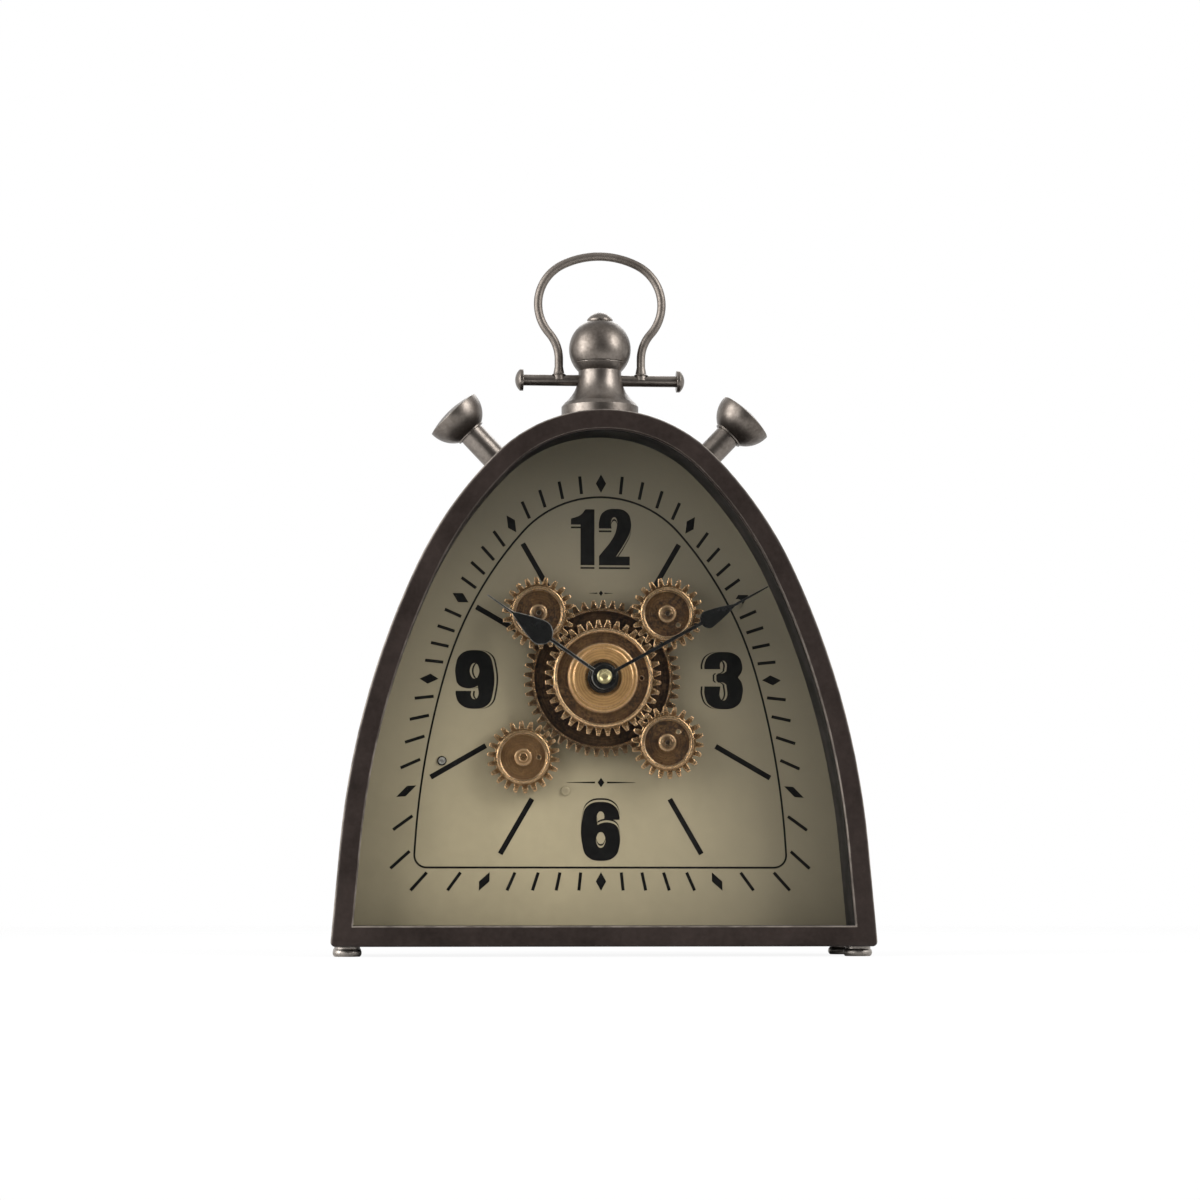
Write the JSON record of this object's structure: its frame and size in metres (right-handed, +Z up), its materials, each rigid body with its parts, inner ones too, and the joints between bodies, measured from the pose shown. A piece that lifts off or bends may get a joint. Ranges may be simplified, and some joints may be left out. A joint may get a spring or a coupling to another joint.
{
  "type": "beehive shelf clock",
  "caption": "Beehive-arched metal shelf clock in pocket-watch style with bow handle, finial ball, pushers and an open moving gear train behind glass.",
  "frame": {"origin": "bottom centre of the clock, on the surface its feet stand on", "axes": "+Z up, +X to the viewer's right when facing the dial, +Y towards the back of the clock"},
  "size_m": [0.3302, 0.096, 0.4384],
  "materials": {
    "case_paint": "satin dark brown paint",
    "reveal_paint": "matt black paint",
    "clear_glass": "clear float glass",
    "dial_paint": "satin khaki paint with printed marks",
    "pewter": "antique pewter plate, satin",
    "steel": "plain steel",
    "gear_copper": "antique copper plate, rubbed on the rims",
    "brass": "polished brass",
    "hand_black": "satin black paint",
    "box_plastic": "black moulded plastic",
    "cell_wrap": "plain cell wrapper"
  },
  "bodies": {
    "case": {"front_bezel": "case_paint", "case_band": "case_paint", "case_base": "case_paint", "rear_flange": "case_paint", "front_glass": "clear_glass", "reveal_sleeve": "reveal_paint", "dial_plate": "dial_paint", "dial_edge_screws": "steel", "dial_face_screws": "steel", "dial_stay": "steel", "back_panel": "case_paint", "back_screws": "steel", "foot_front_left": "pewter", "foot_back_left": "pewter", "foot_front_right": "pewter", "foot_back_right": "pewter", "foot_screws": "steel", "finial_pedestal": "pewter", "finial_ball": "pewter", "finial_cap": "pewter", "finial_stud": "steel", "finial_nut": "steel", "pusher_stem_left": "pewter", "pusher_stem_right": "pewter", "pusher_head_left": "pewter", "pusher_head_right": "pewter", "pusher_nuts": "steel", "gear_post": "steel", "post_washer": "steel", "idler_posts": "steel", "idler_eyelets": "steel", "idler_post_nuts": "steel", "drive_unit": "box_plastic", "drive_cell": "cell_wrap", "movement_case": "box_plastic", "movement_bush": "brass", "movement_cell": "cell_wrap"},
    "handle": {"handle_bow": "pewter", "handle_pivot_left": "pewter", "handle_pivot_right": "pewter", "handle_cap_left": "pewter", "handle_cap_right": "pewter"},
    "centre_gears": {"front_gear": "gear_copper", "big_gear": "gear_copper", "gear_sleeve": "steel"},
    "idler_upper_left": {"idler_upper_left": "gear_copper"},
    "idler_upper_right": {"idler_upper_right": "gear_copper"},
    "idler_lower_right": {"idler_lower_right": "gear_copper"},
    "drive_gear": {"drive_gear": "gear_copper", "drive_shaft": "steel"},
    "minute_hand": {"minute_hand": "hand_black", "minute_arbor": "brass", "hand_nut": "brass"},
    "hour_hand": {"hour_hand": "hand_black", "hour_pipe": "brass"},
    "set_knob": {"set_knob": "box_plastic"}
  },
  "joints": [
    {"name": "handle_swing", "type": "hinge", "parent": "case", "child": "handle", "pos_m": [0, 0, 0.35709], "axis": [1, 0, 0], "range_deg": [-120, 120]},
    {"name": "centre_gears_turn", "type": "hinge", "parent": "case", "child": "centre_gears", "pos_m": [0, 0, 0.1695], "axis": [0, 1, 0], "continuous": true},
    {"name": "idler_upper_left_turn", "type": "hinge", "parent": "case", "child": "idler_upper_left", "pos_m": [-0.03958, 0, 0.20908], "axis": [0, 1, 0], "continuous": true},
    {"name": "idler_upper_right_turn", "type": "hinge", "parent": "case", "child": "idler_upper_right", "pos_m": [0.03958, 0, 0.20908], "axis": [0, 1, 0], "continuous": true},
    {"name": "idler_lower_right_turn", "type": "hinge", "parent": "case", "child": "idler_lower_right", "pos_m": [0.03958, 0, 0.12992], "axis": [0, 1, 0], "continuous": true},
    {"name": "drive_gear_turn", "type": "hinge", "parent": "case", "child": "drive_gear", "pos_m": [-0.04845, 0, 0.12105], "axis": [0, 1, 0], "continuous": true},
    {"name": "minute_hand_turn", "type": "hinge", "parent": "case", "child": "minute_hand", "pos_m": [0, 0, 0.1695], "axis": [0, 1, 0], "continuous": true},
    {"name": "hour_hand_turn", "type": "hinge", "parent": "case", "child": "hour_hand", "pos_m": [0, 0, 0.1695], "axis": [0, 1, 0], "continuous": true},
    {"name": "set_knob_turn", "type": "hinge", "parent": "case", "child": "set_knob", "pos_m": [0, 0, 0.1825], "axis": [0, 1, 0], "continuous": true}
  ],
  "couplings": [
    {"joint": "idler_upper_left_turn", "follows": "centre_gears_turn", "ratio": -1.6364},
    {"joint": "idler_upper_right_turn", "follows": "centre_gears_turn", "ratio": -1.6364},
    {"joint": "idler_lower_right_turn", "follows": "centre_gears_turn", "ratio": -1.6364},
    {"joint": "drive_gear_turn", "follows": "centre_gears_turn", "ratio": -2.2273},
    {"joint": "hour_hand_turn", "follows": "minute_hand_turn", "ratio": 0.083333},
    {"joint": "set_knob_turn", "follows": "minute_hand_turn", "ratio": -0.33333}
  ]
}
